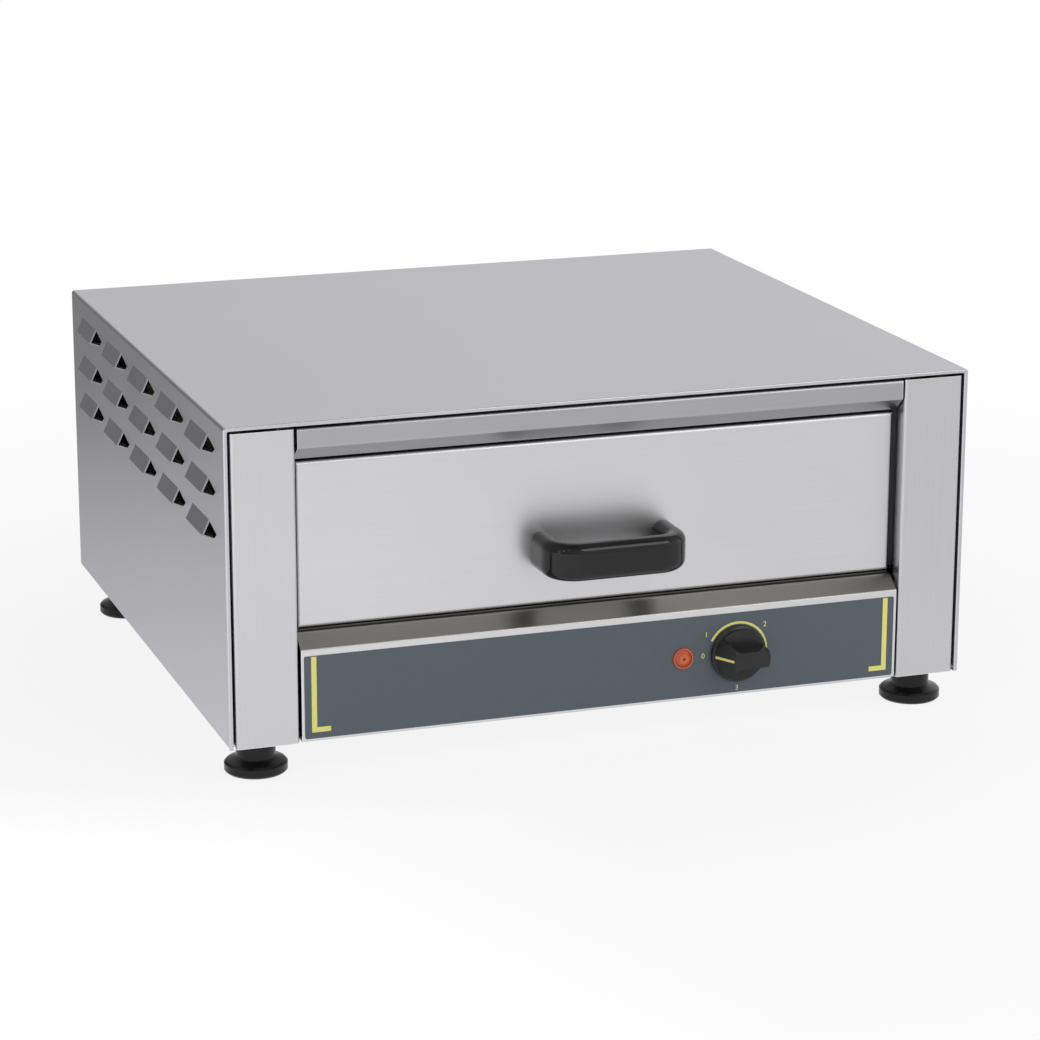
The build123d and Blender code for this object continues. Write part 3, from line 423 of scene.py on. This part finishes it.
def bracket_outline(corner_x, low, high, side):
    """Corner mark: an upright bar with a foot turned in towards the middle."""
    bar = side * BRACKET_BAR
    foot = side * BRACKET_FOOT
    return [
        (corner_x, low),
        (corner_x + foot, low),
        (corner_x + foot, low + BRACKET_FOOT_BAR),
        (corner_x + bar, low + BRACKET_FOOT_BAR),
        (corner_x + bar, high),
        (corner_x, high),
    ]


def arc_edges(centre):
    """Inner and outer edge of the dial's arc."""
    inner = []
    outer = []
    for step in range(DIAL_STEPS + 1):
        degrees = DIAL_START + (DIAL_END - DIAL_START) * step / DIAL_STEPS
        share = max(0, (DIAL_TAPER - degrees) / (DIAL_TAPER - DIAL_END))
        half = (DIAL_LINE + (DIAL_TAIL - DIAL_LINE) * share) / 2
        angle = math.radians(degrees)
        for edge, radius in ((inner, DIAL_RADIUS - half), (outer, DIAL_RADIUS + half)):
            edge.append((centre.x + radius * math.cos(angle), centre.z + radius * math.sin(angle)))
    return inner, outer


def digit_shape(digit):
    """One plain digit, centred on its place."""
    curve = bpy.data.curves.new("dial_digit", "FONT")
    curve.body = digit
    curve.size = DIGIT_HEIGHT
    curve.align_x = "CENTER"
    curve.align_y = "CENTER"
    curve.extrude = PRINT_THICKNESS / 2
    return curve


def add_fascia_print(ink):
    """Corner marks, the dial's arc and its plain numbers."""
    low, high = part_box("fascia_overlay")
    front = low.y - PRINT_THICKNESS
    bottom = low.z + BRACKET_LOW
    top = high.z - BRACKET_HIGH
    left = bracket_outline(low.x + BRACKET_INSET_X, bottom, top, 1)
    right = bracket_outline(high.x - BRACKET_INSET_X, bottom, top, -1)
    for name, outline in (("left_corner_mark", left), ("right_corner_mark", right)):
        add_print(name, plate_mesh(name, outline, front, low.y), ink)
    centre = Vector(next(joint["pos_m"] for joint in frame["joints"] if joint["name"] == "knob_turn"))
    inner, outer = arc_edges(centre)
    add_print("dial_arc", band_mesh("dial_arc", inner, outer, front, low.y), ink)
    upright = Matrix.Rotation(math.pi / 2, 4, "X")
    for digit, degrees, radius in DIAL_MARKS:
        angle = math.radians(degrees)
        x = centre.x + radius * MM * math.cos(angle)
        z = centre.z + radius * MM * math.sin(angle)
        place = Matrix.Translation((x, low.y - PRINT_THICKNESS / 2, z)) @ upright
        add_print("dial_digit_" + digit, digit_shape(digit), ink, place)


def finish_outside(ink):
    """Steel sheets, the overlay, the knob, the handle, the lens and the feet."""
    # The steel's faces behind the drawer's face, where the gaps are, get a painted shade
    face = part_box("drawer_front")[0].y
    dress(["outer_casing"], brushed_steel("casing_steel", (0.6, 0.592, 0.63), 0.36, "XZ"))
    posts = brushed_steel("post_steel", (0.64, 0.637, 0.655), 0.34, "Z", painted_shade_behind=face)
    dress(["left_post", "right_post"], posts)
    rail = brushed_steel("rail_steel", (0.445, 0.44, 0.465), 0.34, "X", painted_shade_behind=face)
    dress(["top_rail"], rail)
    # Painted shade on the sill, which slopes upwards: darker and slightly brown
    sill_shade_tint = (0.53, 0.517, 0.475)
    sill_face = face + 1.2 * MM
    fascia = brushed_steel(
        "fascia_steel", (0.71, 0.71, 0.72), 0.32, "X", painted_shade_behind=sill_face, upward_shade_tint=sill_shade_tint
    )
    dress(["control_fascia"], fascia)
    front = brushed_steel("front_steel", (0.685, 0.683, 0.7), 0.33, "X", painted_shade_behind=face + 4 * MM)
    dress(["drawer_front"], front)
    dress(["rear_panel", "base_plate"], brushed_steel("rear_steel", (0.56, 0.56, 0.57), 0.42, "X"))
    dress(["fascia_overlay"], printed("overlay_ink", (0.105, 0.13, 0.153), 0.42))
    dress(["knob"], moulding("knob_plastic", (0.027, 0.027, 0.028), 0.26, 0.01, 0.3))
    dress(["knob_pointer"], ink)
    dress(["handle"], moulding("handle_gloss", (0.003, 0.003, 0.004), 0.1, 0.0, 0.42))
    pads = [corner + "_foot_pad" for corner in ("front_left", "front_right", "rear_left", "rear_right")]
    dress(pads, moulding("foot_plastic", (0.008, 0.008, 0.009), 0.24, 0.01, 0.3))
    dress(["cable_gland", "gland_nut"], moulding("gland_nylon", (0.03, 0.03, 0.032), 0.4))
    low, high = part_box("pilot_lamp_lens")
    dress(["pilot_lamp_lens"], lamp_lens("lamp_lens", (low + high) / 2))


def finish_inside():
    """The chamber, the drawer's box, the slides, the fastenings and the electrical parts."""
    liner = brushed_steel("liner_steel", (0.58, 0.58, 0.58), 0.4, "Y", 0.03, 0.08, 0.3)
    dress(["liner_" + place for place in ("left_wall", "right_wall", "ceiling", "rear_wall")], liner)
    dress(["drawer_" + place for place in ("front_liner", "left_side", "right_side", "back", "bottom")], liner)
    dress(["liner_floor"], plain_metal("heated_floor_steel", (0.2, 0.19, 0.175), 0.5, 0.15))
    zinc = plain_metal("zinc_plate", (0.62, 0.63, 0.65), 0.3, 0.035)
    for side in ("left", "right"):
        dress([side + part for part in ("_outer_rail", "_middle_rail", "_inner_rail")], zinc)
        dress([end + side + "_foot_stud" for end in ("front_", "rear_")], zinc)
    dress(["thermostat_screws", "rear_panel_screws", "handle_screws", "foot_nuts"], zinc)
    dress(["liner_support_legs", "heater_supports", "thermostat_spindle"], zinc)
    slabs = ["insulation_" + place for place in ("top", "left", "right", "rear", "floor")]
    dress(slabs + ["drawer_front_insulation"], wool("mineral_wool", (0.5, 0.42, 0.25)))
    dress(["heater_element"], plain_metal("heater_sheath", (0.2, 0.18, 0.17), 0.45, 0.25))
    dress(["thermostat_body", "pilot_lamp_body"], moulding("thermoset", (0.7, 0.66, 0.56), 0.5))
    dress(["thermostat_probe"], plain_metal("copper", (0.72, 0.42, 0.28), 0.3))
    dress(["terminal_block"], moulding("terminal_plastic", (0.8, 0.79, 0.74), 0.45))
    dress(["wiring_loom"], moulding("lead_sleeve", (0.45, 0.12, 0.07), 0.55))


def add_camera():
    """The photograph's viewpoint."""
    data = bpy.data.cameras.new("photo_camera")
    data.sensor_width = SENSOR_MM
    data.lens = FOCAL_PIXELS / FRAME_PIXELS * SENSOR_MM
    data.clip_end = CAMERA_REACH
    camera = bpy.data.objects.new("photo_camera", data)
    forward = CAMERA_FORWARD.normalized()
    right = (CAMERA_RIGHT - forward * CAMERA_RIGHT.dot(forward)).normalized()
    up = right.cross(forward)
    turn = Matrix((right, up, -forward)).transposed().to_4x4()
    camera.matrix_world = Matrix.Translation(CAMERA_PLACE) @ turn
    bpy.context.scene.collection.objects.link(camera)
    bpy.context.scene.camera = camera


def add_world():
    """White surroundings; metal sees them dim overhead and towards the back left."""
    world = bpy.data.worlds.new("studio")
    bpy.context.scene.world = world
    world.use_nodes = True
    tree = world.node_tree
    background = tree.nodes["Background"]
    path = tree.nodes.new("ShaderNodeLightPath")
    direction = tree.nodes.new("ShaderNodeTexCoord").outputs["Generated"]
    axes = split_axes(tree, direction)
    across = math_node(tree, "MULTIPLY", axes["X"], WORLD_ACROSS)
    back = math_node(tree, "MULTIPLY", axes["Y"], WORLD_BACK)
    above = vector_node(tree, "DOT_PRODUCT", direction, OVERHEAD)
    overhead = spread(tree, above, 0, OVERHEAD_DIM, *OVERHEAD_FADE)
    behind = vector_node(tree, "DOT_PRODUCT", direction, BACK_LEFT)
    corner = spread(tree, behind, 0, BACK_LEFT_DIM, *BACK_LEFT_FADE)
    level = math_node(tree, "ADD", math_node(tree, "ADD", across, back), WORLD_LEVEL)
    level = math_node(tree, "SUBTRACT", level, math_node(tree, "ADD", overhead, corner))
    strength = math_node(tree, "MAXIMUM", level, path.outputs["Is Camera Ray"])
    tree.links.new(strength, background.inputs["Strength"])
    background.inputs["Color"].default_value = (1, 1, 1, 1)


def add_floor():
    """Plain pale floor, white where it is seen and lit where light reaches it."""
    mesh = bpy.data.meshes.new("floor")
    corners = [(x * FLOOR_HALF, y * FLOOR_HALF, 0) for x, y in ((-1, -1), (1, -1), (1, 1), (-1, 1))]
    mesh.from_pydata(corners, [], [(0, 1, 2, 3)])
    floor = bpy.data.objects.new("floor", mesh)
    bpy.context.scene.collection.objects.link(floor)
    made, tree, shader, place = material("floor_white")
    shader.inputs["Base Color"].default_value = (0.86, 0.86, 0.86, 1)
    shader.inputs["Roughness"].default_value = 0.8
    shader.inputs["Specular IOR Level"].default_value = 0.2
    glow = tree.nodes.new("ShaderNodeEmission")
    glow.inputs["Color"].default_value = (1, 1, 1, 1)
    path = tree.nodes.new("ShaderNodeLightPath")
    axes = split_axes(tree, place)
    along = spread(tree, axes["Y"], *FLOOR_LEVELS, FLOOR_FRONT, FLOOR_BACK)
    tilt = spread(tree, axes["Y"], -FLOOR_TILT, FLOOR_TILT, FLOOR_FRONT, FLOOR_BACK)
    side = spread(tree, axes["X"], -FLOOR_TILT_HALF, FLOOR_TILT_HALF, -FLOOR_TILT_HALF, FLOOR_TILT_HALF)
    reflected = math_node(tree, "ADD", along, math_node(tree, "MULTIPLY", side, tilt))
    strength = math_node(tree, "MAXIMUM", reflected, path.outputs["Is Camera Ray"])
    tree.links.new(strength, glow.inputs["Strength"])
    direct = math_node(tree, "MAXIMUM", path.outputs["Is Camera Ray"], path.outputs["Is Glossy Ray"])
    direct = math_node(tree, "MAXIMUM", direct, path.outputs["Is Transmission Ray"])
    white = spread(tree, vector_node(tree, "LENGTH", place), WHITE_NEAR, 1, *WHITE_RADII)
    mix = tree.nodes.new("ShaderNodeMixShader")
    tree.links.new(math_node(tree, "MULTIPLY", direct, white), mix.inputs["Fac"])
    tree.links.new(shader.outputs["BSDF"], mix.inputs[1])
    tree.links.new(glow.outputs["Emission"], mix.inputs[2])
    tree.links.new(mix.outputs["Shader"], tree.nodes["Material Output"].inputs["Surface"])
    mesh.materials.append(made)


def add_lamps():
    """A broad lamp over the front right, two small ones and a tall strip on the left."""
    for name, place, (width, height), power in LAMPS:
        data = bpy.data.lights.new(name, "AREA")
        data.shape = "RECTANGLE"
        data.size = width
        data.size_y = height
        data.energy = power
        lamp = bpy.data.objects.new(name, data)
        lamp.location = place
        aim = Vector(LAMP_TARGET) - Vector(place)
        lamp.rotation_euler = aim.to_track_quat("-Z", "Y").to_euler()
        bpy.context.scene.collection.objects.link(lamp)


yellow = printed("yellow_ink", (1.0, 0.94, 0.28), 0.5)
finish_outside(yellow)
finish_inside()
add_fascia_print(yellow)
add_camera()
add_world()
add_floor()
add_lamps()
bpy.context.scene.view_settings.view_transform = "Standard"
